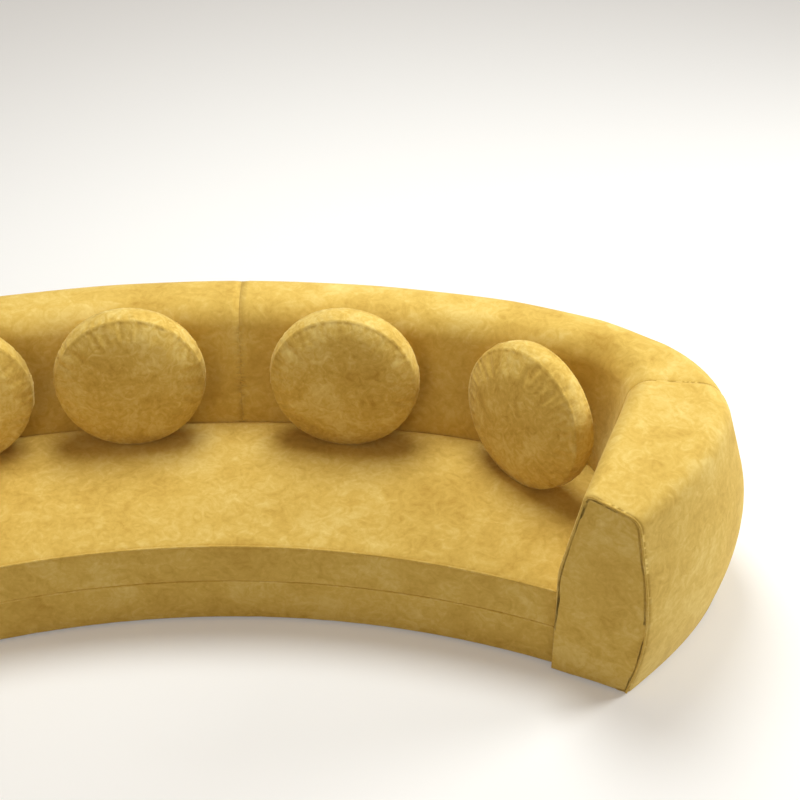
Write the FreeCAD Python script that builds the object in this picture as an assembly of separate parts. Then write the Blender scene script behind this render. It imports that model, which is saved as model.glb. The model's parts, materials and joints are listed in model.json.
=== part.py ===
import FreeCAD, Part
from FreeCAD import Vector
import math
import os

# A long curved sofa: one crescent seat cushion on a low upholstered base, a rounded
# back that sweeps into two thick arms with flat raked fronts, and four round scatter
# cushions. Millimetres, +Z up, front towards -Y, +X along the sofa.

# plan of the seat, drawn about the centre of the seat's arcs
seat_front_radius = 2733.0
seat_depth = 649.0
corner_radius = 130.0
middle_angle = 15.0
corner_angle = 19.7
corner_sweep_end = 114.0
arm_front_radius = 2718.0
arm_front_angle = 22.6
arm_front_turn = 24.75

# heights
base_bottom_z = 8.0
seat_bottom_z = 175.0
seat_top_z = 336.0
crest_z = 765.0
bulge_z = 300.0
lean_start_z = 400.0

# section of the back
back_depth = 370.0
back_lean_in = 13.0
back_lean_out = 10.0
back_foot = 31.0
crest_flat = 40.0
lean_round = 300.0
bulge_round = 350.0

# flat front of the arm
arm_front_width = 302.0
arm_peak_z = 783.0
arm_outer_z = 738.0
arm_lean_start_z = 430.0
arm_lean_in = 11.0
arm_lean_out = 7.5
arm_front_foot = 42.0
arm_inner_round = 28.0
arm_outer_round = 60.0

# the thick part of the arm, behind the front
corner_start_depth = 354.0
corner_depth = 350.0
shoulder_depth = 396.0
elbow_depth = 458.0
arm_back_depth = 480.0
arm_middle_depth = 453.0
arm_fore_depth = 386.0
arm_extra_lean = 6.0
arm_extra_foot = 10.0
arm_swell = 120.0
middle_steps = 4
corner_steps = 2
arm_steps = 2

# layers
cloth = 3.0
foam = 30.0
front_pad = 12.0
plywood = 18.0
board = 15.0
fit_gap = 0.3
hem_width = 36.0
piping_radius = 3.5
piping_stand = 1.2
rest_gap = 0.3

# seat cushion
seat_crown = 12.0
seat_front_bulge = 5.0
cushion_cloth = 2.0
base_recess = 6.0

# scatter cushions
scatter_radius = 250.0
scatter_seam_radius = 247.0
gusset_half = 40.0
face_crown = 45.0
scatter_lean = 5.0
scatter_back_gap = 9.0
middle_cushion_angle = 6.3
side_cushion_angle = 16.3
side_cushion_turn = 48.0
corner_cushion_angle = 17.6
corner_cushion_in = 137.0
cover_sides = 40
filling_sides = 16

# deck
felt_thickness = 6.0
webbing_thickness = 1.5
webbing_width = 60.0
radial_straps = 11
radial_strap_end = 18.0
curved_straps = 3

# frame
rib_angles = (7.5, 15.0)
crest_rail_width = 70.0
crest_rail_drop = 66.0
rib_opening_half = 38.0
rib_opening_low = 200.0
rib_opening_high = 590.0
beam_dip = 60.0
deck_rail_height = 70.0
rib_edge = 45.0
back_rib_gap = 0.8
turn_rib_gap = 3.5

# feet and centre bolts
foot_block = 50.0
bolt_radius = 4.0
bolt_head_radius = 8.0
bolt_head_height = 5.0
nut_plate = 24.0
upper_bolt_z = 640.0
lower_bolt_z = 62.0
lower_bolt_reach = 80.0
nut_plate_thickness = 4.0

seat_rear_radius = seat_front_radius + seat_depth
board_bottom_z = base_bottom_z + cloth + fit_gap
board_top_z = board_bottom_z + board
felt_top_z = seat_bottom_z - rest_gap
felt_bottom_z = felt_top_z - felt_thickness
rail_top_z = felt_bottom_z - 2 * webbing_thickness
tuck_z = seat_bottom_z + cloth
core_inset = cloth + 2 * fit_gap + foam
arm_panel_back = cloth + fit_gap
arm_board_front = arm_panel_back + front_pad + fit_gap
arm_board_back = arm_board_front + plywood
base_face_radius = seat_front_radius + base_recess
rail_front_radius = base_face_radius + cloth + front_pad + 2 * fit_gap
rail_back_radius = rail_front_radius + plywood
side_rail_outer = core_inset - fit_gap
side_rail_inner = side_rail_outer - plywood


def unit(heading):
    angle = math.radians(heading)
    return math.sin(angle), math.cos(angle)


def polar(radius, heading):
    x, y = unit(heading)
    return radius * x, radius * y


# corner centre and the arm's inner line
corner_centre = polar(seat_rear_radius - corner_radius, corner_angle)


def corner_point(heading, radius=corner_radius):
    x, y = polar(radius, heading)
    return corner_centre[0] + x, corner_centre[1] + y


arm_rear_point = corner_point(corner_sweep_end)
arm_front_point = polar(arm_front_radius, arm_front_angle)
section_end_heading = 90.0 + arm_front_turn


def along_arm(share):
    x = arm_rear_point[0] + (arm_front_point[0] - arm_rear_point[0]) * share
    y = arm_rear_point[1] + (arm_front_point[1] - arm_rear_point[1]) * share
    return x, y


# where the body turns the corner and runs down the arm: place on the inner wall, heading of
# the section, depth and share of the arm front's form
corner_keys = (corner_angle, 45.0, 70.0, 92.0, corner_sweep_end)
section_keys = (
    (middle_angle, back_depth, 0.0),
    (20.5, corner_start_depth, 0.0),
    (44.0, corner_depth, 0.0),
    (66.0, shoulder_depth, 1 / 6),
    (91.0, elbow_depth, 2 / 6),
    (102.5, arm_back_depth, 3 / 6),
    (107.0, arm_middle_depth, 4 / 6),
    (111.5, arm_fore_depth, 5 / 6),
    (section_end_heading, arm_front_width, 1.0),
)
seam_key = 4
last_key = len(section_keys) - 1
key_curve = Part.BSplineCurve()
key_curve.interpolate(Points=[Vector(*key) for key in section_keys],
                      Parameters=[float(number) for number in range(len(section_keys))])


def station_at(place):
    # place runs from 0 at the end of the middle to last_key at the arm's flat front
    values = key_curve.value(place)
    turns = len(corner_keys)
    if place <= 1:
        origin = polar(seat_rear_radius, middle_angle + (corner_angle - middle_angle) * place)
    elif place <= turns:
        lower = min(int(place), turns - 1) - 1
        share = place - 1 - lower
        origin = corner_point(corner_keys[lower] + (corner_keys[lower + 1] - corner_keys[lower]) * share)
    else:
        origin = along_arm((place - turns) / (last_key - turns))
    return origin, values.x, values.y, values.z


def middle_station(heading):
    return polar(seat_rear_radius, heading), heading, back_depth, 0.0


back_stations = [middle_station(middle_angle * step / middle_steps) for step in range(middle_steps)]
back_stations += [station_at(step / corner_steps) for step in range(seam_key * corner_steps + 1)]
arm_stations = [station_at(seam_key + step / arm_steps)
                for step in range((last_key - seam_key) * arm_steps + 1)]
front_heading = 90.0 + section_end_heading


def arm_rows(distance):
    # the arm's stations, the last one moved to a distance behind the flat front
    origin, heading, depth, share = arm_stations[-1]
    x, y = unit(front_heading)
    moved = (origin[0] - x * distance, origin[1] - y * distance)
    return arm_stations[:-1] + [(moved, heading, depth, share)]


def mix(back_value, front_value, share):
    return back_value * (1 - share) + front_value * share


def half_turn(before, at, after):
    u = (before[0] - at[0], before[1] - at[1])
    v = (after[0] - at[0], after[1] - at[1])
    between = math.acos((u[0] * v[0] + u[1] * v[1]) / (math.hypot(*u) * math.hypot(*v)))
    return (math.pi - between) / 2


def crest_radius():
    # the roll over the back: two arcs with a narrow flat between them
    inner = (crest_z - lean_start_z) * math.tan(math.radians(back_lean_in))
    outer = back_depth - (crest_z - bulge_z) * math.tan(math.radians(back_lean_out))
    turn_in = math.radians(90 - back_lean_in) / 2
    turn_out = math.radians(90 - back_lean_out) / 2
    return (outer - inner - crest_flat) / (math.tan(turn_in) + math.tan(turn_out))


def section_polygon(depth, share):
    # inner foot, start of the lean, inner crest, outer crest, bulge, foot, end of the hem
    extra = max(0.0, depth - back_depth) / arm_swell * (1 - share)
    lean_in = math.radians(mix(back_lean_in, arm_lean_in, share))
    lean_out = math.radians(mix(back_lean_out, arm_lean_out, share) + arm_extra_lean * extra)
    foot = mix(back_foot, arm_front_foot, share) + arm_extra_foot * extra
    inner_z = mix(crest_z, arm_peak_z, share)
    outer_z = mix(crest_z, arm_outer_z, share)
    start_z = mix(lean_start_z, arm_lean_start_z, share)
    points = [
        (0.0, tuck_z),
        (0.0, start_z),
        ((inner_z - start_z) * math.tan(lean_in), inner_z),
        (depth - (outer_z - bulge_z) * math.tan(lean_out), outer_z),
        (depth, bulge_z),
        (depth - foot, base_bottom_z),
        (depth - foot - hem_width, base_bottom_z),
    ]
    roll = crest_radius()
    rounds = [lean_round, mix(roll, arm_inner_round, share), mix(roll, arm_outer_round, share),
              bulge_round, 0.0]
    return points, rounds


def shrink_round(radius, inset):
    # an inset corner keeps a small round where the inset is deeper than the radius
    left = radius - inset
    least = 8.0
    return (left + math.sqrt(left * left + 4 * least * least)) / 2 if inset > 0 else radius


def inset_polygon(points, inset):
    # moves every side of the open outline inwards; the outline runs clockwise
    sides = []
    for start, end in zip(points[:-1], points[1:]):
        length = math.hypot(end[0] - start[0], end[1] - start[1])
        direction = ((end[0] - start[0]) / length, (end[1] - start[1]) / length)
        normal = (direction[1], -direction[0])
        origin = (start[0] + normal[0] * inset, start[1] + normal[1] * inset)
        sides.append((origin, direction))
    moved = [sides[0][0]]
    for (p, d), (q, e) in zip(sides[:-1], sides[1:]):
        cross = d[0] * e[1] - d[1] * e[0]
        along = ((q[0] - p[0]) * e[1] - (q[1] - p[1]) * e[0]) / cross
        moved.append((p[0] + d[0] * along, p[1] + d[1] * along))
    last_point = points[-1]
    direction = sides[-1][1]
    normal = (direction[1], -direction[0])
    moved.append((last_point[0] + normal[0] * inset, last_point[1] + normal[1] * inset))
    return moved


def rounded_pieces(points, rounds):
    # the outline as lines and arcs, each piece a list of two or three points
    pieces = []
    start = points[0]
    for index, radius in enumerate(rounds):
        before, at, after = points[index], points[index + 1], points[index + 2]
        if radius == 0.0:
            pieces.append([start, at])
            start = at
            continue
        half = half_turn(before, at, after)
        reach = radius * math.tan(half)
        u_length = math.hypot(before[0] - at[0], before[1] - at[1])
        v_length = math.hypot(after[0] - at[0], after[1] - at[1])
        u = ((before[0] - at[0]) / u_length, (before[1] - at[1]) / u_length)
        v = ((after[0] - at[0]) / v_length, (after[1] - at[1]) / v_length)
        first = (at[0] + u[0] * reach, at[1] + u[1] * reach)
        last = (at[0] + v[0] * reach, at[1] + v[1] * reach)
        middle_length = math.hypot(u[0] + v[0], u[1] + v[1])
        out = radius / math.cos(half) - radius
        middle = (at[0] + (u[0] + v[0]) / middle_length * out, at[1] + (u[1] + v[1]) / middle_length * out)
        pieces.append([start, first])
        pieces.append([first, middle, last])
        start = last
    pieces.append([start, points[-1]])
    return pieces


deep_arc = 0.15


def straightened(pieces):
    # each arc as the straight cuts of a foam block or a board: two for a deep arc
    cuts = []
    for piece in pieces:
        if len(piece) == 2:
            cuts.append(piece)
            continue
        chord = ((piece[0][0] + piece[2][0]) / 2, (piece[0][1] + piece[2][1]) / 2)
        rise = math.hypot(piece[1][0] - chord[0], piece[1][1] - chord[1])
        half_chord = math.hypot(piece[2][0] - chord[0], piece[2][1] - chord[1])
        if rise > deep_arc * half_chord:
            cuts.append([piece[0], piece[1]])
            cuts.append([piece[1], piece[2]])
        else:
            cuts.append([piece[0], piece[2]])
    return cuts


def section_pieces(depth, share, inset, end_z=None):
    # the section from the tuck behind the seat over the crest to the hem, or to end_z on the outer side
    points, rounds = section_polygon(depth, share)
    points = inset_polygon(points, inset)
    rounds = [shrink_round(radius, inset) if radius else 0.0 for radius in rounds]
    if end_z is not None:
        foot, bulge = points[5], points[4]
        up = (end_z - foot[1]) / (bulge[1] - foot[1])
        points = points[:5] + [(foot[0] + (bulge[0] - foot[0]) * up, end_z)]
        rounds = rounds[:4]
    return rounded_pieces(points, rounds)


def to_space(origin, heading, point):
    x, y = unit(heading)
    return Vector(origin[0] + x * point[0], origin[1] + y * point[0], point[1])


def edges_in_space(origin, heading, pieces):
    edges = []
    for piece in pieces:
        spots = [to_space(origin, heading, point) for point in piece]
        if len(spots) == 2:
            edges.append(Part.LineSegment(spots[0], spots[1]).toShape())
        else:
            edges.append(Part.Arc(spots[0], spots[1], spots[2]).toShape())
    return edges


def band_pieces(outside, inside):
    # the outside outline, and back along the inside, as one loop
    back = [list(reversed(piece)) for piece in reversed(inside)]
    return outside + [[outside[-1][-1], back[0][0]]] + back + [[back[-1][-1], outside[0][0]]]


def forwards(solid):
    if solid.Volume < 0:
        solid.reverse()
    return solid


def loft_run(rows, outline):
    # a solid from section to section; outline gives the pieces for a depth and a share
    wires = [Part.Wire(edges_in_space(row[0], row[1], outline(row[2], row[3]))) for row in rows]
    return forwards(Part.makeLoft(wires, True, True, False))


def cover_outline(depth, share):
    inside = straightened(section_pieces(depth, share, cloth))
    return band_pieces(section_pieces(depth, share, 0.0), inside)


def foam_outline(depth, share):
    foot_z = board_top_z + fit_gap
    outside = straightened(section_pieces(depth, share, cloth + fit_gap, foot_z))
    inside = straightened(section_pieces(depth, share, cloth + fit_gap + foam, foot_z))
    return band_pieces(outside, inside)


def single(shape):
    solids = shape.Solids
    solids.sort(key=lambda solid: -solid.Volume)
    return solids[0]


def mirrored(shape):
    return shape.mirror(Vector(0, 0, 0), Vector(1, 0, 0))


parts = {}


def both_sides(name, shape):
    parts[name + "_right"] = shape
    parts[name + "_left"] = mirrored(shape)


def seat_outline(inset):
    # the plan between the arms and in front of the back, as a face at height 0
    arm_x, arm_y = along_arm(1.0)
    rear_x, rear_y = along_arm(0.0)
    reach = 150.0 / math.hypot(arm_x - rear_x, arm_y - rear_y)
    ahead = (arm_x + (arm_x - rear_x) * reach, arm_y + (arm_y - rear_y) * reach)
    spots = [station[0] for station in back_stations]
    spots += [station[0] for station in arm_stations[1:] if station[0][1] > rear_y - 0.01]
    path = [ahead] + list(reversed(spots)) + [(-spots[1][0], spots[1][1])]
    moved = [Vector(x, y, 0) for x, y in inset_polygon(path, -inset)[:-1]]
    other = [Vector(-spot.x, spot.y, 0) for spot in reversed(moved[:-1])]
    return Part.Face(Part.makePolygon(moved + other + [moved[0]]))


def between_arms(shape, inset=fit_gap):
    column = seat_outline(inset).extrude(Vector(0, 0, 600))
    return single(shape.common(column))


def seat_plate(inset, low_z, high_z, front_radius):
    plate = seat_outline(inset).extrude(Vector(0, 0, high_z - low_z))
    plate.translate(Vector(0, 0, low_z))
    hollow = Part.makeCylinder(front_radius, high_z - low_z, Vector(0, 0, low_z))
    return single(plate.cut(hollow))


def arc_ring(corners, angle):
    # a section given as distance and height, turned about the centre of the seat's arcs
    spots = [Vector(0, corner[0], corner[1]) for corner in corners]
    ring = Part.Face(Part.makePolygon(spots + [spots[0]])).revolve(Vector(0, 0, 0), Vector(0, 0, 1), 2 * angle)
    ring.rotate(Vector(0, 0, 0), Vector(0, 0, 1), -angle)
    return forwards(ring)


def arc_strip(inner_radius, outer_radius, low_z, high_z, angle):
    return arc_ring([(inner_radius, low_z), (outer_radius, low_z), (outer_radius, high_z),
                     (inner_radius, high_z)], angle)


# covers and foam of the back and the arms
both_sides("back_cover", loft_run(back_stations, cover_outline))
both_sides("back_foam", loft_run(back_stations, foam_outline))
both_sides("arm_cover", loft_run(arm_rows(arm_panel_back), cover_outline))
both_sides("arm_foam", loft_run(arm_rows(arm_board_front), foam_outline))


def arm_front_pieces(inset):
    # the outline of the arm's flat front, closed along the floor
    points, rounds = section_polygon(arm_front_width, 1.0)
    points = [(0.0, base_bottom_z)] + points[1:-1]
    moved = inset_polygon(points + [(0.0, base_bottom_z)], inset)
    moved[0] = (inset, base_bottom_z + inset)
    moved[-1] = moved[0]
    shrunk = [shrink_round(radius, inset) if radius else 0.0 for radius in rounds]
    return rounded_pieces(moved, shrunk)


def flat_plate(pieces, near, far):
    # a plate across the arm, from near to far behind its flat front
    face = Part.Face(Part.Wire(edges_in_space(arm_front_point, section_end_heading, pieces)))
    x, y = unit(front_heading)
    face.translate(Vector(-x * near, -y * near, 0))
    return forwards(face.extrude(Vector(-x * (far - near), -y * (far - near), 0)))


# the flat front's cover stops short of the piping over the top and down the outside
outer_line = arm_front_pieces(0.0)
piping_inside = arm_front_pieces(2 * piping_radius)[3:8]
panel_edge = arm_front_pieces(2 * piping_radius + fit_gap)[3:8]
piping_outside = outer_line[3:8]
panel = outer_line[:2] + [[outer_line[2][0], panel_edge[0][0]]] + panel_edge
panel_foot = (panel_edge[-1][-1][0], base_bottom_z)
panel[-1] = [panel[-1][0], panel_foot]
panel.append([panel_foot, outer_line[0][0]])
both_sides("arm_front_cover", flat_plate(panel, 0.0, cloth))
piping_foot = (piping_inside[-1][-1][0], base_bottom_z)
piping_inside[-1] = [piping_inside[-1][0], piping_foot]
both_sides("arm_piping", flat_plate(band_pieces(piping_outside, piping_inside), -piping_stand, cloth))
both_sides("arm_front_pad", flat_plate(straightened(arm_front_pieces(cloth + fit_gap)), arm_panel_back,
                                       arm_board_front - fit_gap))
arm_board = flat_plate(straightened(arm_front_pieces(core_inset)), arm_board_front, arm_board_back)
clear_floor = Part.makeBox(8000, 8000, 400, Vector(-4000, -1000, board_top_z + fit_gap - 400))
both_sides("arm_front_board", single(arm_board.cut(clear_floor)))

# seat cushion: cover, foam core and the two lines of piping along the front
piping_cut = 2 * piping_radius + math.sqrt(2) * (piping_radius + fit_gap)


def cushion_ring(inset, crowned):
    # the section has its corners cut back for the piping and is turned about the arcs' centre
    front = seat_front_radius + inset
    rear = seat_rear_radius - fit_gap - inset
    beyond = seat_rear_radius + 200.0
    low = seat_bottom_z + inset
    high = seat_top_z - inset
    cut = piping_cut - inset * 0.5858
    middle_z = (low + high) / 2
    spots = [Vector(0, *spot) for spot in ((front + cut, low), (beyond, low), (beyond, high), (rear, high),
                                           (front + cut, high), (front, high - cut), (front, low + cut))]
    edges = [Part.LineSegment(a, b).toShape() for a, b in zip(spots[:3], spots[1:4])]
    crown = Vector(0, (front + cut + rear) / 2, high + seat_crown)
    bulge = Vector(0, front - seat_front_bulge, middle_z)
    if crowned:
        edges.append(Part.Arc(spots[3], crown, spots[4]).toShape())
    else:
        edges.append(Part.LineSegment(spots[3], crown).toShape())
        edges.append(Part.LineSegment(crown, spots[4]).toShape())
    edges.append(Part.LineSegment(spots[4], spots[5]).toShape())
    if crowned:
        edges.append(Part.Arc(spots[5], bulge, spots[6]).toShape())
    else:
        edges.append(Part.LineSegment(spots[5], spots[6]).toShape())
    edges.append(Part.LineSegment(spots[6], spots[0]).toShape())
    ring = Part.Face(Part.Wire(edges)).revolve(Vector(0, 0, 0), Vector(0, 0, 1), 60)
    ring.rotate(Vector(0, 0, 0), Vector(0, 0, 1), -30)
    return between_arms(forwards(ring), fit_gap + inset)


parts["seat_cushion_cover"] = cushion_ring(0.0, True).cut(cushion_ring(cushion_cloth, False))
parts["seat_cushion_core"] = cushion_ring(cushion_cloth + fit_gap, False)


def front_piping(height):
    corners = []
    for number in range(8):
        angle = math.radians(22.5 + 45 * number)
        corners.append((seat_front_radius + piping_radius + piping_radius * math.cos(angle),
                        height + piping_radius * math.sin(angle)))
    return between_arms(arc_ring(corners, 30))


parts["seat_piping_top"] = front_piping(seat_top_z - piping_radius)
parts["seat_piping_bottom"] = front_piping(seat_bottom_z + piping_radius)

# base: front cover with its hem, pad, front rail
base_cover = arc_ring([(base_face_radius, base_bottom_z), (rail_back_radius, base_bottom_z),
                       (rail_back_radius, base_bottom_z + cloth), (base_face_radius + cloth, base_bottom_z + cloth),
                       (base_face_radius + cloth, felt_top_z), (base_face_radius, felt_top_z)], 30)
parts["base_front_cover"] = between_arms(base_cover)
parts["base_front_pad"] = between_arms(arc_strip(base_face_radius + cloth + fit_gap, rail_front_radius - fit_gap,
                                                 board_bottom_z, felt_bottom_z - fit_gap, 30))
parts["front_rail"] = between_arms(arc_strip(rail_front_radius, rail_back_radius, board_top_z, rail_top_z, 30))


def plan_line(distance, rows):
    # points in plan at a distance from the inner wall, one for each row
    return [to_space(row[0], row[1], (distance(row), 0.0)) for row in rows]


def plan_strip(inner, outer, rows, low_z, high_z):
    # a flat board between two such lines
    spots = plan_line(inner, rows) + list(reversed(plan_line(outer, rows)))
    face = Part.Face(Part.makePolygon(spots + [spots[0]]))
    face.translate(Vector(0, 0, low_z))
    return forwards(face.extrude(Vector(0, 0, high_z - low_z)))


def foot_distance(station):
    # inside of the cover at the foot
    points, rounds = section_polygon(station[2], station[3])
    foot, bulge = points[5], points[4]
    slope = (bulge[0] - foot[0]) / (bulge[1] - foot[1])
    return foot[0] + slope * (board_bottom_z - foot[1]) - (cloth + fit_gap) * math.hypot(1.0, slope)


def under_points(gap, distance):
    # the right half of the footprint, a gap inside the covers and stopped behind the arm's flat front
    rows = back_stations + arm_rows(distance)[1:]
    spots = plan_line(lambda station: foot_distance(station) - gap, rows)
    inner_end = to_space(rows[-1][0], rows[-1][1], (gap, 0.0))
    dx, dy = arm_rear_point[0] - arm_front_point[0], arm_rear_point[1] - arm_front_point[1]
    length = math.hypot(dx, dy)
    dx, dy = dx / length, dy / length
    along = inner_end.x * dx + inner_end.y * dy
    start = inner_end.x ** 2 + inner_end.y ** 2
    reach = math.sqrt(along * along - start + rail_front_radius ** 2) - along
    return spots + [inner_end, inner_end + Vector(dx * reach, dy * reach, 0)]


def under_plate(edges, low_z, high_z):
    face = Part.Face(Part.Wire(Part.__sortEdges__(edges)))
    face.translate(Vector(0, 0, low_z))
    return forwards(face.extrude(Vector(0, 0, high_z - low_z)))


def straight_edges(spots):
    return [Part.LineSegment(near, far).toShape() for near, far in zip(spots[:-1], spots[1:])]


def board_half(gap, distance, low_z, high_z):
    spots = under_points(gap, distance)
    front = Vector(0, rail_front_radius, 0)
    half_angle = math.degrees(math.atan2(spots[-1].x, spots[-1].y)) / 2
    arc = Part.Arc(spots[-1], Vector(*polar(rail_front_radius, half_angle), 0), front).toShape()
    return under_plate(straight_edges([front] + spots) + [arc], low_z, high_z)


def board_whole(gap, distance, low_z, high_z):
    spots = under_points(gap, distance)
    other = [Vector(-spot.x, spot.y, 0) for spot in spots]
    arc = Part.Arc(spots[-1], Vector(0, rail_front_radius, 0), other[-1]).toShape()
    return under_plate(straight_edges(list(reversed(other)) + spots[1:]) + [arc], low_z, high_z)


both_sides("base_board", board_half(fit_gap, arm_board_front, board_bottom_z, board_top_z))

# deck: felt on webbing, carried by the front rail, the deck rail and two side rails
parts["deck_felt"] = seat_plate(-side_rail_outer, felt_bottom_z, felt_top_z,
                                base_face_radius + cloth + fit_gap)
strap_low = rail_top_z + webbing_thickness
strap = Part.makeBox(webbing_width, seat_rear_radius + side_rail_outer - rail_front_radius,
                     webbing_thickness, Vector(-webbing_width / 2, rail_front_radius + 2.0, strap_low))
straps = []
for index in range(radial_straps):
    turn = -radial_strap_end + 2 * radial_strap_end * index / (radial_straps - 1)
    turned = strap.copy()
    turned.rotate(Vector(0, 0, 0), Vector(0, 0, 1), turn)
    straps.append(turned)
deck_area = seat_plate(-side_rail_outer, rail_top_z, felt_bottom_z, rail_front_radius)
parts["radial_webbing"] = Part.makeCompound([single(piece.common(deck_area)) for piece in straps])
bands = []
deck_span = seat_depth - (rail_back_radius - seat_front_radius)
for index in range(curved_straps):
    middle = rail_back_radius + deck_span * (index + 1) / (curved_straps + 1)
    band = arc_strip(middle - webbing_width / 2, middle + webbing_width / 2, rail_top_z, strap_low, 30)
    bands.append(single(band.common(deck_area)))
parts["curved_webbing"] = Part.makeCompound(bands)

deck_rail_bottom = rail_top_z - deck_rail_height
parts["deck_rail"] = arc_strip(seat_rear_radius + side_rail_inner, seat_rear_radius + side_rail_outer,
                               deck_rail_bottom, rail_top_z, corner_angle - 1.0)
side_stations = arm_rows(arm_board_back + fit_gap)[2:]
both_sides("side_rail", plan_strip(lambda station: side_rail_inner, lambda station: side_rail_outer,
                                   side_stations, board_top_z + fit_gap, rail_top_z))


# ribs: plywood uprights cut to the section, with an opening in each
def rib_upright(depth, share, gap):
    foot_z = board_top_z + fit_gap
    pieces = straightened(section_pieces(depth, share, core_inset + gap, foot_z))
    top = pieces[0][1]
    pieces[0] = [(top[0], foot_z), top]
    pieces.append([pieces[-1][-1], pieces[0][0]])
    return pieces


def plate_from(origin, heading, pieces, thickness, offset):
    face = Part.Face(Part.Wire(edges_in_space(origin, heading, pieces)))
    x, y = unit(heading + 90.0)
    face.translate(Vector(x * offset, y * offset, 0))
    return forwards(face.extrude(Vector(x * thickness, y * thickness, 0)))


def loop(spots):
    return [[spot, following] for spot, following in zip(spots, spots[1:] + spots[:1])]


def beam_pieces():
    # from the front rail to the upright, dipped on top so that the webbing can give
    front = rail_back_radius + fit_gap - seat_rear_radius
    foot_z = board_top_z + fit_gap
    top_z = rail_top_z - fit_gap
    joint = core_inset + rib_edge
    middle = (front + rib_edge - rib_edge) / 2
    pieces = loop([(front, foot_z), (front, top_z), (front + rib_edge, top_z), (-rib_edge, top_z),
                   (joint, top_z), (joint, foot_z)])
    pieces[2] = [(front + rib_edge, top_z), (middle, top_z - beam_dip), (-rib_edge, top_z)]
    return pieces


def opening_pieces(depth):
    # a long opening with cut corners down the middle of the upright
    middle = core_inset + (depth - 2 * core_inset) * 0.46
    half = rib_opening_half
    low, high = rib_opening_low, rib_opening_high
    cut = half * 0.6
    return loop([(middle - half, low + cut), (middle - half, high - cut), (middle - half + cut, high),
                 (middle + half - cut, high), (middle + half, high - cut), (middle + half, low + cut),
                 (middle + half - cut, low), (middle - half + cut, low)])


def rib(station, offset, with_beam):
    origin, heading, depth, share = station
    gap = back_rib_gap if with_beam else turn_rib_gap
    shape = plate_from(origin, heading, rib_upright(depth, share, gap), plywood, offset)
    if with_beam:
        shape = shape.fuse(plate_from(origin, heading, beam_pieces(), plywood, offset)).removeSplitter()
        slot = arc_strip(seat_rear_radius + side_rail_inner - fit_gap, seat_rear_radius + core_inset,
                         deck_rail_bottom - fit_gap, rail_top_z + 5.0, 30)
        shape = shape.cut(slot)
    return shape.cut(plate_from(origin, heading, opening_pieces(depth), plywood + 2.0, offset - 1.0))


def rail_inner(station):
    return station[2] * 0.44 - crest_rail_width / 2


def rail_outer(station):
    return station[2] * 0.44 + crest_rail_width / 2


rail_high = crest_z - crest_rail_drop
rail_low = rail_high - plywood
run_rows = back_stations + arm_rows(arm_board_back + fit_gap)[1:]
both_sides("crest_rail", plan_strip(rail_inner, rail_outer, back_stations, rail_low, rail_high))
both_sides("arm_rail", plan_strip(rail_inner, rail_outer, arm_rows(arm_board_back + fit_gap), rail_low,
                                  rail_high))
notch = plan_strip(lambda station: rail_inner(station) - fit_gap, lambda station: rail_outer(station) + fit_gap,
                   run_rows, rail_low - fit_gap, rail_high + 60.0)

centre_rib = rib(middle_station(0.0), 0.0, True).cut(notch)
for number, angle in enumerate(rib_angles):
    both_sides("back_rib_%d" % (number + 1), single(rib(middle_station(angle), -plywood / 2, True).cut(notch)))
for name, place in (("corner_rib", 2.0), ("elbow_rib", 4.0), ("arm_rib", 6.0)):
    both_sides(name, single(rib(station_at(place), -plywood / 2, False).cut(notch)))

# bolts through the two centre ribs, each with a nut plate
along_x = Vector(1, 0, 0)
bolts = []
plates = []
upper_bolt_y = seat_rear_radius + core_inset + (back_depth - 2 * core_inset) * 0.46
for y, z in ((upper_bolt_y, upper_bolt_z), (rail_back_radius + lower_bolt_reach, lower_bolt_z)):
    centre_rib = centre_rib.cut(Part.makeCylinder(bolt_radius + fit_gap, plywood + 4, Vector(-2, y, z), along_x))
    reach = 2 * plywood + nut_plate_thickness + 2 * fit_gap
    shank = Part.makeCylinder(bolt_radius, reach, Vector(-plywood - fit_gap, y, z), along_x)
    head = Part.makeCylinder(bolt_head_radius, bolt_head_height,
                             Vector(-plywood - fit_gap - bolt_head_height, y, z), along_x)
    bolts.append(single(shank.fuse(head).removeSplitter()))
    plate = Part.makeBox(nut_plate_thickness, nut_plate, nut_plate,
                         Vector(plywood + fit_gap, y - nut_plate / 2, z - nut_plate / 2))
    plates.append(plate.cut(Part.makeCylinder(bolt_radius + fit_gap / 2, 60, Vector(0, y, z), along_x)))
both_sides("centre_rib", single(centre_rib))
parts["centre_bolts"] = Part.makeCompound(bolts)
parts["nut_plates"] = Part.makeCompound(plates)

# dust cover, and low feet that stand through it
dust_cover = board_whole(10.0, arm_board_front, base_bottom_z - 1.0, base_bottom_z)
arm_spot = to_space(along_arm(0.86), 110.0, (130.0, 0.0))
elbow_spot = to_space(back_stations[-1][0], 91.0, (elbow_depth * 0.55, 0.0))
foot_spots = [polar(rail_back_radius + 60.0, 5.0), polar(rail_back_radius + 60.0, 18.0),
              polar(seat_rear_radius + 200.0, 4.0), polar(seat_rear_radius + 200.0, 16.0),
              (elbow_spot.x, elbow_spot.y), (arm_spot.x, arm_spot.y)]
feet = []
for x, y in foot_spots:
    for side in (1, -1):
        corner = Vector(side * x - foot_block / 2, y - foot_block / 2, 0)
        feet.append(Part.makeBox(foot_block, foot_block, board_bottom_z - fit_gap, corner))
        hole = Part.makeBox(foot_block + 2 * fit_gap, foot_block + 2 * fit_gap, 20.0,
                            corner - Vector(fit_gap, fit_gap, 0))
        dust_cover = dust_cover.cut(hole)
parts["dust_cover"] = single(dust_cover)
parts["feet"] = Part.makeCompound(feet)


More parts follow.
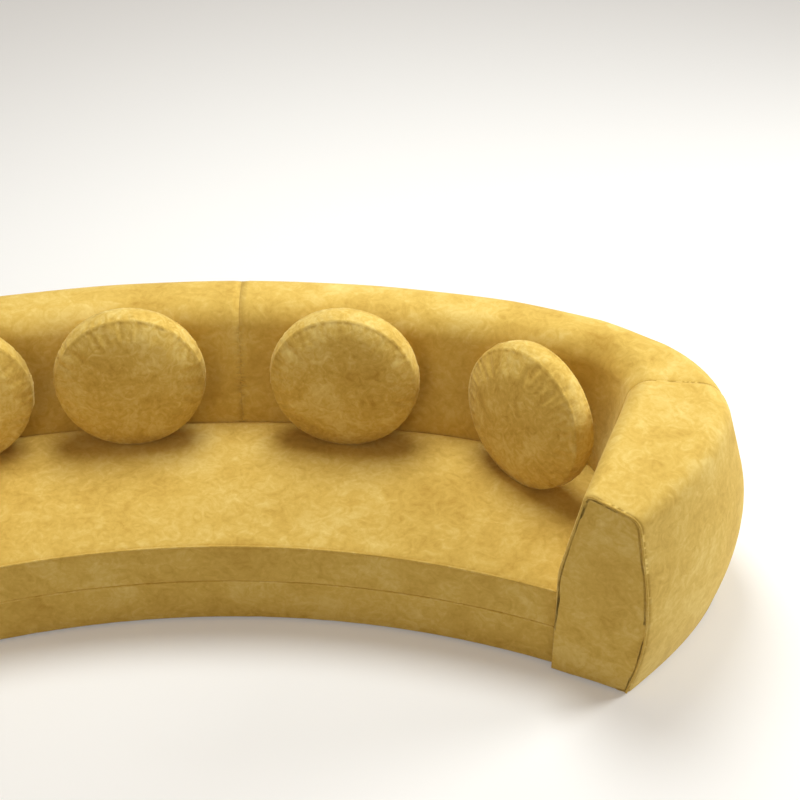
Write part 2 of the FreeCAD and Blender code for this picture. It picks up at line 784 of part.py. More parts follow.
def seat_height_at(radius):
    # height of the crowned seat at a distance from the arcs' centre
    near = seat_front_radius + piping_cut
    far = seat_rear_radius - fit_gap
    half = (far - near) / 2
    turn_radius = (half * half + seat_crown * seat_crown) / (2 * seat_crown)
    away = radius - (near + far) / 2
    return seat_top_z + seat_crown - turn_radius + math.sqrt(turn_radius * turn_radius - away * away)


# scatter cushions: half of the section, from the middle of the face to the middle of the rear
def crown_height(share):
    return gusset_half + face_crown * (1 - share * share)


def faceted(levels, sides):
    # a closed round form through rings of the given radius and height, in flat sides
    def ring(radius, height):
        step = 2 * math.pi / sides
        return [Vector(radius * math.cos(step * number), radius * math.sin(step * number), height)
                for number in range(sides)]

    rings = [ring(radius, height) for radius, height in levels]
    faces = []
    for lower, upper in zip(rings[:-1], rings[1:]):
        for number in range(sides):
            following = (number + 1) % sides
            corners = [lower[number], lower[following], upper[following], upper[number], lower[number]]
            faces.append(Part.Face(Part.makePolygon(corners)))
    for end in (rings[0], rings[-1]):
        faces.append(Part.Face(Part.makePolygon(end + [end[0]])))
    shell = Part.makeShell(faces)
    shell.sewShape()
    return forwards(Part.makeSolid(shell))


def scatter_cover_form():
    crown = [(share * scatter_seam_radius, crown_height(share)) for share in (0.36, 0.72, 1.0)]
    levels = [(x, -z) for x, z in crown] + [(scatter_radius, 0.0)] + list(reversed(crown))
    return faceted(levels, cover_sides)


def scatter_filling_form(inset):
    # a stuffed bag inside the cover
    rim = scatter_seam_radius - cushion_cloth - inset
    levels = [(share * rim, crown_height(share) - 2 * cushion_cloth - inset) for share in (0.36, 1.0)]
    return faceted([(x, -z) for x, z in levels] + list(reversed(levels)), filling_sides)


def wall_at(height):
    # distance behind the seat's rear line of the inner wall, up to the crest's roll
    points, rounds = section_polygon(back_depth, 0.0)
    pieces = rounded_pieces(points, rounds)
    lean = math.tan(math.radians(back_lean_in))
    straight = max(0.0, height - lean_start_z) * lean
    (x0, z0), (xm, zm), (x1, z1) = pieces[3]
    radius = rounds[1]
    centre_x = points[2][0] + radius * math.tan(half_turn(points[1], points[2], points[3]))
    centre_z = points[2][1] - radius
    if height <= z0:
        return straight
    rise = min(height, crest_z) - centre_z
    return centre_x - math.sqrt(max(0.0, radius * radius - rise * rise))


def scatter_rear_point(out, around):
    # a point of the rear face at a share of the seam's radius; sideways, backwards, upwards
    reach = scatter_seam_radius * out
    bow = gusset_half + face_crown * (1 - out * out)
    lean = math.radians(scatter_lean)
    side = reach * math.sin(around)
    up = reach * math.cos(around)
    back = bow * math.cos(lean) + up * math.sin(lean)
    return side, back, up * math.cos(lean) - bow * math.sin(lean)


def scatter_rest_height(radius, turn):
    # the height of the centre at which the leaning cushion rests on the seat; turn is from the radius
    lean = math.radians(scatter_lean)
    turned = math.radians(turn)
    heights = []
    for bow, rim in ((gusset_half, scatter_seam_radius), (0.0, scatter_radius), (-gusset_half, scatter_seam_radius)):
        back = bow * math.cos(lean) - rim * math.sin(lean)
        reach = math.hypot(back * math.sin(turned), radius + back * math.cos(turned))
        heights.append(seat_height_at(reach) + rim * math.cos(lean) + bow * math.sin(lean))
    return max(heights) + rest_gap


def scatter_centre():
    # the distance of the centre from the arcs' centre at which the cushion touches the back
    chord_rise = seat_rear_radius * (1 - math.cos(math.radians(middle_angle / middle_steps / 2)))
    radius = seat_rear_radius - 60.0
    for attempt in range(4):
        height = scatter_rest_height(radius, 0.0)
        clear = 1000.0
        for out_step in range(0, 11):
            for around_step in range(0, 36):
                side, back, up = scatter_rear_point(out_step / 10, math.radians(10 * around_step))
                if height + up > crest_z - 3.0 or height + up < seat_top_z + 20.0:
                    continue
                reach = math.hypot(side, radius + back)
                clear = min(clear, seat_rear_radius + wall_at(height + up) - reach)
        radius += clear - scatter_back_gap - chord_rise
    return radius, height


scatter_distance, scatter_height = scatter_centre()


def place_scatter(shape, radius, angle, turn, height):
    # the face looks along the turn heading; the top leans away from it
    placed = shape.copy()
    placed.rotate(Vector(0, 0, 0), Vector(1, 0, 0), 90 - scatter_lean)
    placed.rotate(Vector(0, 0, 0), Vector(0, 0, 1), turn)
    x, y = polar(radius, angle)
    placed.translate(Vector(x, y, height))
    return placed


scatter_cover = scatter_cover_form().cut(scatter_filling_form(0.0))
scatter_filling = scatter_filling_form(fit_gap)
corner_radius_at = seat_rear_radius - corner_cushion_in
corner_height = scatter_rest_height(corner_radius_at, corner_cushion_angle - side_cushion_turn)
scatter_places = {
    1: (scatter_distance, -side_cushion_angle, side_cushion_angle, scatter_height),
    2: (scatter_distance, -middle_cushion_angle, middle_cushion_angle, scatter_height),
    3: (scatter_distance, middle_cushion_angle, -middle_cushion_angle, scatter_height),
    4: (corner_radius_at, corner_cushion_angle, -side_cushion_turn, corner_height),
}
for number, place in scatter_places.items():
    parts["scatter_cover_%d" % number] = place_scatter(scatter_cover, *place)
    parts["scatter_filling_%d" % number] = place_scatter(scatter_filling, *place)

# origin: middle of the sofa's own footprint, on the floor
skins = [shape for name, shape in parts.items() if "cover" in name]
low_y = min(shape.BoundBox.YMin for shape in skins)
high_y = max(shape.BoundBox.YMax for shape in skins)
move = Vector(0, -(low_y + high_y) / 2, 0)

os.makedirs("parts", exist_ok=True)
for name, shape in parts.items():
    placed = shape.copy()
    placed.translate(move)
    placed.exportStep("parts/" + name + ".step")
print(len(parts), "nodes, arc centre at y", round(move.y, 2), "scatter", round(scatter_distance, 1),
      round(scatter_height, 1))
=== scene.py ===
import bpy
import bmesh
import json
import math
import numpy as np
from mathutils import Matrix, Vector, noise


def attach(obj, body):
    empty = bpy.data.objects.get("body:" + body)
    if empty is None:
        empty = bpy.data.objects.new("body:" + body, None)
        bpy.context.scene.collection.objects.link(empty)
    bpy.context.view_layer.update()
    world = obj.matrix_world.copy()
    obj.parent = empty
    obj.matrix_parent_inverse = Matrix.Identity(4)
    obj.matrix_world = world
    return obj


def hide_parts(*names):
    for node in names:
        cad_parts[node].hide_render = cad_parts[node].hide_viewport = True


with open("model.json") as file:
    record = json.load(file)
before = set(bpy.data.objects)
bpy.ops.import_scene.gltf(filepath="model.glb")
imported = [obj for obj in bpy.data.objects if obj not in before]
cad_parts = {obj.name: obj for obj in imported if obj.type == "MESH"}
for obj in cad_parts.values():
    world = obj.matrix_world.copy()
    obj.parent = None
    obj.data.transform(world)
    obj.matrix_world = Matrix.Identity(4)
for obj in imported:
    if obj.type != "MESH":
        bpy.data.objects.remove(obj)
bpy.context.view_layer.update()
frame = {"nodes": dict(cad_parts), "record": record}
scene = bpy.context.scene
arcCentreY = -3.06814   # centre of the seat's arcs, in metres

# camera first: the photograph's place and angle
cameraShot = {"place": (0.5606, arcCentreY - 1.5681, 4.2900), "tilt": 52.06, "turn": 0.1, "lens": 81.0}


def makeCamera(shot):
    data = bpy.data.cameras.new("photoCamera")
    data.lens = shot["lens"]
    data.sensor_width = 36.0
    data.clip_end = 60.0
    camera = bpy.data.objects.new("photoCamera", data)
    camera.location = shot["place"]
    camera.rotation_euler = (math.radians(shot["tilt"]), 0.0, math.radians(shot["turn"]))
    scene.collection.objects.link(camera)
    scene.camera = camera


makeCamera(cameraShot)


# ---- small helpers for nodes
def addNode(tree, kind, at=(0, 0), **values):
    node = tree.nodes.new(kind)
    node.location = at
    for key, value in values.items():
        if key in node.inputs:
            node.inputs[key].default_value = value
        else:
            setattr(node, key, value)
    return node


def join(tree, source, output, target, socket):
    tree.links.new(source.outputs[output], target.inputs[socket])


def ramp(tree, stops, at=(0, 0)):
    node = tree.nodes.new("ShaderNodeValToRGB")
    node.location = at
    while len(node.color_ramp.elements) < len(stops):
        node.color_ramp.elements.new(0.5)
    for element, (place, colour) in zip(node.color_ramp.elements, stops):
        element.position = place
        element.color = (*colour, 1.0) if len(colour) == 3 else colour
    return node


def newGroup(name, inputs, outputs):
    group = bpy.data.node_groups.new(name, "ShaderNodeTree")
    for label, kind, value in inputs:
        socket = group.interface.new_socket(name=label, in_out="INPUT", socket_type=kind)
        if value is not None:
            socket.default_value = value
    for label, kind in outputs:
        group.interface.new_socket(name=label, in_out="OUTPUT", socket_type=kind)
    return group, group.nodes.new("NodeGroupInput"), group.nodes.new("NodeGroupOutput")


# crushed velvet: pile that lies this way and that in soft patches, with finer flecks
def makeVelvetGroup():
    group, start, end = newGroup(
        "crushedVelvet",
        [("Vector", "NodeSocketVector", None), ("Deep", "NodeSocketColor", (0.36, 0.21, 0.03, 1)),
         ("Middle", "NodeSocketColor", (0.60, 0.40, 0.08, 1)), ("Bright", "NodeSocketColor", (0.80, 0.60, 0.20, 1)),
         ("Patch Scale", "NodeSocketFloat", 5.0), ("Fleck Scale", "NodeSocketFloat", 60.0),
         ("Contrast", "NodeSocketFloat", 1.0)],
        [("Color", "NodeSocketColor"), ("Roughness", "NodeSocketFloat"), ("Height", "NodeSocketFloat")])
    patches = addNode(group, "ShaderNodeTexNoise", Detail=5.0, Roughness=0.62, Distortion=0.7)
    join(group, start, "Vector", patches, "Vector")
    join(group, start, "Patch Scale", patches, "Scale")
    crush = addNode(group, "ShaderNodeTexNoise", Detail=4.0, Roughness=0.6, Distortion=1.6)
    join(group, start, "Vector", crush, "Vector")
    wider = addNode(group, "ShaderNodeMath", operation="MULTIPLY")
    wider.inputs[1].default_value = 4.2
    join(group, start, "Patch Scale", wider, 0)
    join(group, wider, 0, crush, "Scale")
    fleck = addNode(group, "ShaderNodeTexNoise", Detail=3.0, Roughness=0.7)
    join(group, start, "Vector", fleck, "Vector")
    join(group, start, "Fleck Scale", fleck, "Scale")
    first = addNode(group, "ShaderNodeMix", data_type="FLOAT", Factor=0.42)
    join(group, patches, "Fac", first, 2)
    join(group, crush, "Fac", first, 3)
    second = addNode(group, "ShaderNodeMix", data_type="FLOAT", Factor=0.16)
    join(group, first, 0, second, 2)
    join(group, fleck, "Fac", second, 3)
    spread = addNode(group, "ShaderNodeMath", operation="SUBTRACT")
    spread.inputs[1].default_value = 0.5
    join(group, second, 0, spread, 0)
    stronger = addNode(group, "ShaderNodeMath", operation="MULTIPLY")
    join(group, spread, 0, stronger, 0)
    join(group, start, "Contrast", stronger, 1)
    lifted = addNode(group, "ShaderNodeMath", operation="MULTIPLY_ADD", use_clamp=True)
    lifted.inputs[1].default_value = 3.2
    lifted.inputs[2].default_value = 0.5
    join(group, stronger, 0, lifted, 0)
    low = addNode(group, "ShaderNodeMapRange")
    low.inputs["From Min"].default_value = 0.0
    low.inputs["From Max"].default_value = 0.5
    join(group, lifted, 0, low, "Value")
    high = addNode(group, "ShaderNodeMapRange")
    high.inputs["From Min"].default_value = 0.5
    high.inputs["From Max"].default_value = 1.0
    join(group, lifted, 0, high, "Value")
    lowMix = addNode(group, "ShaderNodeMix", data_type="RGBA")
    join(group, low, 0, lowMix, 0)
    join(group, start, "Deep", lowMix, 6)
    join(group, start, "Middle", lowMix, 7)
    highMix = addNode(group, "ShaderNodeMix", data_type="RGBA")
    join(group, high, 0, highMix, 0)
    join(group, lowMix, 2, highMix, 6)
    join(group, start, "Bright", highMix, 7)
    join(group, highMix, 2, end, "Color")
    rough = addNode(group, "ShaderNodeMapRange")
    rough.inputs["To Min"].default_value = 0.92
    rough.inputs["To Max"].default_value = 0.70
    join(group, lifted, 0, rough, "Value")
    join(group, rough, 0, end, "Roughness")
    pile = addNode(group, "ShaderNodeTexNoise", Detail=2.0)
    pile.inputs["Scale"].default_value = 420.0
    join(group, start, "Vector", pile, "Vector")
    height = addNode(group, "ShaderNodeMix", data_type="FLOAT", Factor=0.35)
    join(group, second, 0, height, 2)
    join(group, pile, "Fac", height, 3)
    join(group, height, 0, end, "Height")
    return group


velvetGroup = makeVelvetGroup()


def velvet(name, deep, middle, bright, patchScale=5.0, fleckScale=60.0, contrast=1.0, sheen=0.35, bump=0.0016,
           offset=(0, 0, 0)):
    material = bpy.data.materials.new(name)
    material.use_nodes = True
    tree = material.node_tree
    shader = tree.nodes["Principled BSDF"]
    coordinate = addNode(tree, "ShaderNodeTexCoord", (-900, 0))
    mapping = addNode(tree, "ShaderNodeMapping", (-720, 0))
    mapping.inputs["Location"].default_value = offset
    join(tree, coordinate, "Object", mapping, "Vector")
    cloth = addNode(tree, "ShaderNodeGroup", (-500, 0))
    cloth.node_tree = velvetGroup
    for label, value in (("Deep", deep), ("Middle", middle), ("Bright", bright)):
        cloth.inputs[label].default_value = (*value, 1.0)
    cloth.inputs["Patch Scale"].default_value = patchScale
    cloth.inputs["Fleck Scale"].default_value = fleckScale
    cloth.inputs["Contrast"].default_value = contrast
    join(tree, mapping, "Vector", cloth, "Vector")
    join(tree, cloth, "Color", shader, "Base Color")
    join(tree, cloth, "Roughness", shader, "Roughness")
    bumps = addNode(tree, "ShaderNodeBump", (-240, -260), Strength=0.6, Distance=bump)
    join(tree, cloth, "Height", bumps, "Height")
    join(tree, bumps, "Normal", shader, "Normal")
    shader.inputs["Sheen Weight"].default_value = sheen
    shader.inputs["Sheen Roughness"].default_value = 0.45
    shader.inputs["Sheen Tint"].default_value = (1.0, 0.86, 0.42, 1.0)
    shader.inputs["Specular IOR Level"].default_value = 0.12
    return material


# plain inner stuffs: one mottle group serves foam, fibre, ply, webbing, lining and steel
def makeMottleGroup():
    group, start, end = newGroup(
        "innerMottle",
        [("Vector", "NodeSocketVector", None), ("First", "NodeSocketColor", (0.8, 0.8, 0.8, 1)),
         ("Second", "NodeSocketColor", (0.6, 0.6, 0.6, 1)), ("Scale", "NodeSocketFloat", 30.0)],
        [("Color", "NodeSocketColor"), ("Height", "NodeSocketFloat")])
    grain = addNode(group, "ShaderNodeTexNoise", Detail=6.0, Roughness=0.6)
    join(group, start, "Vector", grain, "Vector")
    join(group, start, "Scale", grain, "Scale")
    mix = addNode(group, "ShaderNodeMix", data_type="RGBA")
    join(group, grain, "Fac", mix, 0)
    join(group, start, "First", mix, 6)
    join(group, start, "Second", mix, 7)
    join(group, mix, 2, end, "Color")
    join(group, grain, "Fac", end, "Height")
    return group


mottleGroup = makeMottleGroup()


def innerStuff(name, first, second, scale, stretch=(1, 1, 1), roughness=0.8, metallic=0.0, bump=0.0006):
    material = bpy.data.materials.new(name)
    material.use_nodes = True
    tree = material.node_tree
    shader = tree.nodes["Principled BSDF"]
    coordinate = addNode(tree, "ShaderNodeTexCoord", (-800, 0))
    mapping = addNode(tree, "ShaderNodeMapping", (-620, 0))
    mapping.inputs["Scale"].default_value = stretch
    join(tree, coordinate, "Object", mapping, "Vector")
    mottle = addNode(tree, "ShaderNodeGroup", (-400, 0))
    mottle.node_tree = mottleGroup
    mottle.inputs["First"].default_value = (*first, 1.0)
    mottle.inputs["Second"].default_value = (*second, 1.0)
    mottle.inputs["Scale"].default_value = scale
    join(tree, mapping, "Vector", mottle, "Vector")
    join(tree, mottle, "Color", shader, "Base Color")
    bumps = addNode(tree, "ShaderNodeBump", (-200, -240), Strength=0.5, Distance=bump)
    join(tree, mottle, "Height", bumps, "Height")
    join(tree, bumps, "Normal", shader, "Normal")
    shader.inputs["Roughness"].default_value = roughness
    shader.inputs["Metallic"].default_value = metallic
    return material


velvetTones = {
    "deep": (0.450, 0.265, 0.042), "middle": (0.640, 0.435, 0.098), "bright": (0.800, 0.630, 0.225),
}
bodyVelvet = velvet("bodyVelvet", **velvetTones, patchScale=4.5, contrast=0.72)
seatVelvet = velvet("seatVelvet", **velvetTones, patchScale=4.8, contrast=0.70, offset=(3.1, 1.7, 0.4))
cushionVelvet = velvet("cushionVelvet", **velvetTones, patchScale=6.0, contrast=1.0, offset=(0.6, 5.2, 1.9))
pipingVelvet = velvet("pipingVelvet", **velvetTones, patchScale=6.0, contrast=0.7, offset=(7.3, 0.2, 2.4))

nodeStuffs = {
    "foam": innerStuff("foamStuff", (0.86, 0.80, 0.62), (0.74, 0.67, 0.48), 140.0, roughness=0.95, bump=0.002),
    "wadding": innerStuff("waddingStuff", (0.92, 0.91, 0.88), (0.78, 0.77, 0.74), 60.0, (1, 1, 3), 0.95, bump=0.003),
    "webbing": innerStuff("webbingStuff", (0.035, 0.035, 0.04), (0.10, 0.10, 0.105), 300.0, (1, 3, 1), 0.8),
    "plywood": innerStuff("plywoodStuff", (0.70, 0.55, 0.36), (0.56, 0.41, 0.24), 9.0, (1, 1, 14), 0.6),
    "bolt_steel": innerStuff("boltSteel", (0.62, 0.62, 0.64), (0.50, 0.50, 0.53), 220.0, roughness=0.3, metallic=1.0),
    "foot_plastic": innerStuff("footPlastic", (0.03, 0.03, 0.032), (0.055, 0.055, 0.058), 160.0, roughness=0.45),
    "lining_cloth": innerStuff("liningCloth", (0.02, 0.02, 0.021), (0.055, 0.055, 0.058), 420.0, roughness=0.9),
    "body_velvet": bodyVelvet, "seat_velvet": seatVelvet, "cushion_velvet": cushionVelvet,
    "piping_velvet": pipingVelvet,
}
for part in frame["record"]["subparts"]:
    node = frame["nodes"][part["node"]]
    node.data.materials.clear()
    node.data.materials.append(nodeStuffs[part["material_slot"]])
print("materials made")

# the sofa's driving sizes in plan and section, metres and degrees
plan = {
    "frontRadius": 2.733, "seatDepth": 0.649, "cornerRadius": 0.130, "middleAngle": 15.0, "cornerAngle": 19.7,
    "sweepEnd": 114.0, "armFrontRadius": 2.718, "armFrontAngle": 22.6, "armFrontTurn": 24.75,
}
heights = {
    "hem": 0.008, "seatLow": 0.175, "seatHigh": 0.336, "tuck": 0.178, "crest": 0.765, "bulge": 0.300,
    "leanStart": 0.400, "armPeak": 0.783, "armOuter": 0.738, "armLeanStart": 0.430,
}
backSection = {"depth": 0.370, "leanIn": 13.0, "leanOut": 10.0, "foot": 0.031, "flat": 0.040, "leanRound": 0.300,
               "hemWidth": 0.036, "outerLean": 1.33, "outerRise": 0.25, "lowReach": 0.118}
armSection = {"width": 0.302, "leanIn": 11.0, "leanOut": 7.5, "foot": 0.042, "innerRound": 0.028,
              "outerRound": 0.060, "extraLean": 6.0, "extraFoot": 0.010, "swell": 0.120}
# heading, depth and share of the arm front's form, from the end of the middle to the arm front
runKeys = [
    (15.0, 0.370, 0.0), (20.5, 0.354, 0.0), (44.0, 0.350, 0.0), (66.0, 0.396, 1 / 6), (91.0, 0.458, 2 / 6),
    (102.5, 0.480, 3 / 6), (107.0, 0.453, 4 / 6), (111.5, 0.386, 5 / 6), (114.75, 0.302, 1.0),
]
cornerKeys = [19.7, 45.0, 70.0, 92.0, 114.0]
rearRadius = plan["frontRadius"] + plan["seatDepth"]
lastPlace = len(runKeys) - 1
seamPlace = 4


def polar(radius, heading):
    angle = math.radians(heading)
    return Vector((radius * math.sin(angle), radius * math.cos(angle)))


cornerCentre = polar(rearRadius - plan["cornerRadius"], plan["cornerAngle"])
armRear = cornerCentre + polar(plan["cornerRadius"], plan["sweepEnd"])
armFront = polar(plan["armFrontRadius"], plan["armFrontAngle"])


def smoothKeys(keys):
    # second differences of a cubic through the keys, one unit apart, with free ends
    values = np.array(keys, float)
    count = len(values)
    matrix = np.eye(count)
    right = np.zeros_like(values)
    for row in range(1, count - 1):
        matrix[row, row - 1:row + 2] = (1, 4, 1)
        right[row] = 6 * (values[row - 1] - 2 * values[row] + values[row + 1])
    return values, np.linalg.solve(matrix, right)


keyValues, keyBends = smoothKeys(runKeys)


def runAt(place):
    low = min(int(place), lastPlace - 1)
    t = place - low
    a, b = keyValues[low], keyValues[low + 1]
    ma, mb = keyBends[low], keyBends[low + 1]
    return a * (1 - t) + b * t + ((1 - t) ** 3 - (1 - t)) * ma / 6 + (t ** 3 - t) * mb / 6


def stationAt(place):
    heading, depth, share = runAt(place)
    if place <= 1:
        turn = plan["middleAngle"] + (plan["cornerAngle"] - plan["middleAngle"]) * place
        origin = polar(rearRadius, turn)
    elif place <= len(cornerKeys):
        low = min(int(place), len(cornerKeys) - 1) - 1
        turn = cornerKeys[low] + (cornerKeys[low + 1] - cornerKeys[low]) * (place - 1 - low)
        origin = cornerCentre + polar(plan["cornerRadius"], turn)
    else:
        origin = armRear.lerp(armFront, (place - len(cornerKeys)) / (lastPlace - len(cornerKeys)))
    return origin, heading, depth, share


def sectionCorners(depth, share):
    def mix(back, front):
        return back * (1 - share) + front * share
    extra = max(0.0, depth - backSection["depth"]) / armSection["swell"] * (1 - share)
    leanIn = math.radians(mix(backSection["leanIn"], armSection["leanIn"]))
    leanOut = math.radians(mix(backSection["leanOut"], armSection["leanOut"]) + armSection["extraLean"] * extra)
    foot = mix(backSection["foot"], armSection["foot"]) + armSection["extraFoot"] * extra
    innerZ = mix(heights["crest"], heights["armPeak"])
    outerZ = mix(heights["crest"], heights["armOuter"])
    startZ = mix(heights["leanStart"], heights["armLeanStart"])
    innerSpan = (heights["crest"] - heights["leanStart"]) * math.tan(math.radians(backSection["leanIn"]))
    outerSpan = backSection["depth"] - (heights["crest"] - heights["bulge"]) * math.tan(
        math.radians(backSection["leanOut"]))
    turnIn = math.tan(math.radians(90 - backSection["leanIn"]) / 2)
    turnOut = math.tan(math.radians(90 - backSection["leanOut"]) / 2)
    roll = (outerSpan - innerSpan - backSection["flat"]) / (turnIn + turnOut)
    # the outer side swells in one long curve, widest at the bulge
    rise = (outerZ - heights["bulge"]) * backSection["outerRise"]
    slope = backSection["outerLean"] * math.tan(leanOut)
    highZ = heights["bulge"] + rise
    lowZ = heights["bulge"] - backSection["lowReach"]
    lowSlope = math.atan(foot / (lowZ - heights["hem"]))
    corners = [Vector((0.0, heights["tuck"])), Vector((0.0, startZ)),
               Vector(((innerZ - startZ) * math.tan(leanIn), innerZ)),
               Vector((depth - (outerZ - highZ) * slope, outerZ)),
               Vector((depth, highZ)), Vector((depth, lowZ)), Vector((depth - foot, heights["hem"])),
               Vector((depth - foot - backSection["hemWidth"], heights["hem"]))]
    rounds = [backSection["leanRound"], mix(roll, armSection["innerRound"]), mix(roll, armSection["outerRound"]),
              0.97 * rise / math.tan(math.atan(slope) / 2), 0.97 * backSection["lowReach"] / math.tan(lowSlope / 2),
              0.006]
    return corners, rounds


def roundedLine(corners, rounds, arcSteps=16):
    # lines and arcs through the corners, as close points
    line = [corners[0]]
    for index, radius in enumerate(rounds):
        at = corners[index + 1]
        u = (corners[index] - at).normalized()
        v = (corners[index + 2] - at).normalized()
        half = (math.pi - u.angle(v)) / 2
        reach = radius * math.tan(half)
        first, last = at + u * reach, at + v * reach
        centre = at + (u + v).normalized() * (radius / math.cos(half))
        begin = first - centre
        full = begin.angle_signed(last - centre)
        for step in range(arcSteps + 1):
            turned = begin.copy()
            turned.rotate(Matrix.Rotation(-full * step / arcSteps, 2))
            line.append(centre + turned)
    line.append(corners[-1])
    return line


def evenLine(line, count, closed=False):
    # the same line with count points at even steps
    spots = list(line) + ([line[0]] if closed else [])
    along = [0.0]
    for a, b in zip(spots[:-1], spots[1:]):
        along.append(along[-1] + (b - a).length)
    found = []
    steps = count if closed else count - 1
    index = 0
    for step in range(count):
        want = along[-1] * step / steps
        while index < len(along) - 2 and along[index + 1] < want:
            index += 1
        span = max(1e-9, along[index + 1] - along[index])
        found.append(spots[index].lerp(spots[index + 1], (want - along[index]) / span))
    return found


def loftLoops(loops, closed=True):
    # edge loops bridged one after the other; returns the bmesh and the loops' vertices
    mesh = bmesh.new()
    rows = []
    for loop in loops:
        verts = [mesh.verts.new(spot) for spot in loop]
        count = len(verts)
        edges = [mesh.edges.new((verts[i], verts[(i + 1) % count])) for i in range(count if closed else count - 1)]
        rows.append((verts, edges))
    for (near, nearEdges), (far, farEdges) in zip(rows[:-1], rows[1:]):
        bmesh.ops.bridge_loops(mesh, edges=nearEdges + farEdges)
    return mesh, [verts for verts, edges in rows]


def finishPiece(mesh, name, material, body, replaced, mirror=False, smooth=True):
    if mirror:
        bmesh.ops.scale(mesh, vec=(-1, 1, 1), verts=mesh.verts)
    bmesh.ops.recalc_face_normals(mesh, faces=mesh.faces)
    for face in mesh.faces:
        face.smooth = smooth
    data = bpy.data.meshes.new(name)
    mesh.to_mesh(data)
    mesh.free()
    piece = bpy.data.objects.new(name, data)
    scene.collection.objects.link(piece)
    data.materials.append(material)
    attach(piece, body)
    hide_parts(*replaced)
    return piece


def space(origin, heading, point):
    outward = polar(1.0, heading)
    return Vector((origin.x + outward.x * point.x, arcCentreY + origin.y + outward.y * point.x, point.y))


def softWave(spot, size, seed):
    return noise.noise(Vector((spot.x, spot.y, spot.z)) / size + Vector((seed, seed * 0.7, -seed)))


# back and arms: the upholstered body in four covers that meet at drawn-in seams
bodyCover = {
    "ringPoints": 236, "thickness": 0.0028, "middleStep": 0.42, "placeSteps": 22, "armPlaceSteps": 22,
    "seamPull": 0.0034, "seamWidth": 0.0075, "puckerDeep": 0.0011, "puckerLength": 0.034, "puckerReach": 0.075,
    "swellWave": 0.0022, "swellSize": 0.34, "hemStitch": 0.0016, "proud": 0.0028,
}


def bodyStations(part):
    if part == "back":
        count = int(plan["middleAngle"] / bodyCover["middleStep"])
        rows = [(polar(rearRadius, plan["middleAngle"] * i / count), plan["middleAngle"] * i / count,
                 backSection["depth"], 0.0) for i in range(count)]
        steps = bodyCover["placeSteps"]
        rows += [stationAt(i / steps) for i in range(seamPlace * steps + 1)]
    else:
        steps = bodyCover["armPlaceSteps"]
        rows = [stationAt(seamPlace + i / steps) for i in range((lastPlace - seamPlace) * steps + 1)]
    return rows


def seamShape(distance, alongSeam, seed):
    # how far the cloth is drawn in at a distance from a seam, with puckers that fade out
    pull = -bodyCover["seamPull"] * math.exp(-(distance / bodyCover["seamWidth"]) ** 2)
    fade = math.exp(-(distance / bodyCover["puckerReach"]) ** 1.4)
    wander = noise.noise(Vector((alongSeam * 9.0, seed, distance * 6.0)))
    ripple = noise.noise(Vector((alongSeam / bodyCover["puckerLength"], seed * 3.1, distance * 4.0)))
    return pull + bodyCover["puckerDeep"] * fade * (ripple + 0.5 * wander) * min(1.0, distance / 0.006 + 0.25)


def bodyPart(part, side):
    rows = bodyStations(part)
    count = bodyCover["ringPoints"]
    thick = bodyCover["thickness"]
    seed = {"back": 2.0, "arm": 5.0}[part] + (0.0 if side > 0 else 11.0)
    loops = []
    rowDistances = [0.0]
    previous = None
    for origin, heading, depth, share in rows:
        middle = space(origin, heading, Vector((depth * 0.5, 0.5)))
        if previous is not None:
            rowDistances.append(rowDistances[-1] + (middle - previous).length)
        previous = middle
    total = rowDistances[-1]
    for index, (origin, heading, depth, share) in enumerate(rows):
        corners, rounds = sectionCorners(depth, share)
        outline = evenLine(roundedLine(corners, rounds), count)
        outward = polar(1.0, heading)
        loop = []
        alongRing = 0.0
        for number, spot in enumerate(outline):
            before = outline[max(0, number - 1)]
            after = outline[min(count - 1, number + 1)]
            if number:
                alongRing += (spot - outline[number - 1]).length
            direction = (after - before).normalized()
            normal = Vector((-direction.y, direction.x))
            place = space(origin, heading, spot)
            offset = bodyCover["proud"]
            nearSeam = rowDistances[index] if part == "arm" else total - rowDistances[index]
            offset += seamShape(nearSeam, alongRing, seed)
            if part == "back":
                offset += seamShape(rowDistances[index], alongRing, 40.0) * 0.6
            else:
                offset += seamShape(total - rowDistances[index], alongRing, seed + 9.0) * 0.55
            offset += bodyCover["swellWave"] * softWave(place, bodyCover["swellSize"], 2.0) * min(
                1.0, (spot.y - heights["hem"]) / 0.12)
            # stitched line a little over the hem
            offset -= bodyCover["hemStitch"] * math.exp(-((spot.y - 0.030) / 0.004) ** 2) if number > count / 2 else 0.0
            if spot.y < heights["seatHigh"] - 0.02 and spot.x < depth * 0.3:
                offset = 0.0
            if share > 0.999:
                offset = min(offset, 0.0)
            place += Vector((outward.x * normal.x, outward.y * normal.x, normal.y)) * offset
            loop.append(place)
        # the inner side of the cloth closes the ring
        inner = []
        for number in range(count - 1, -1, -6):
            before = outline[max(0, number - 1)]
            after = outline[min(count - 1, number + 1)]
            direction = (after - before).normalized()
            normal = Vector((direction.y, -direction.x))
            inner.append(space(origin, heading, outline[number] + normal * thick * 2.2))
        loops.append(loop + inner)
    mesh, rings = loftLoops(loops)
    for ring in (rings[0], rings[-1]):
        face = mesh.faces.new(ring)
        bmesh.ops.triangulate(mesh, faces=[face])
    return mesh


sides = {"right": 1, "left": -1}
for word, side in sides.items():
    finishPiece(bodyPart("back", side), "backVelvet_" + word, bodyVelvet, "frame",
                ["back_cover_" + word], mirror=side < 0)
    finishPiece(bodyPart("arm", side), "armVelvet_" + word, bodyVelvet, "frame",
                ["arm_cover_" + word], mirror=side < 0)
print("back and arms upholstered")

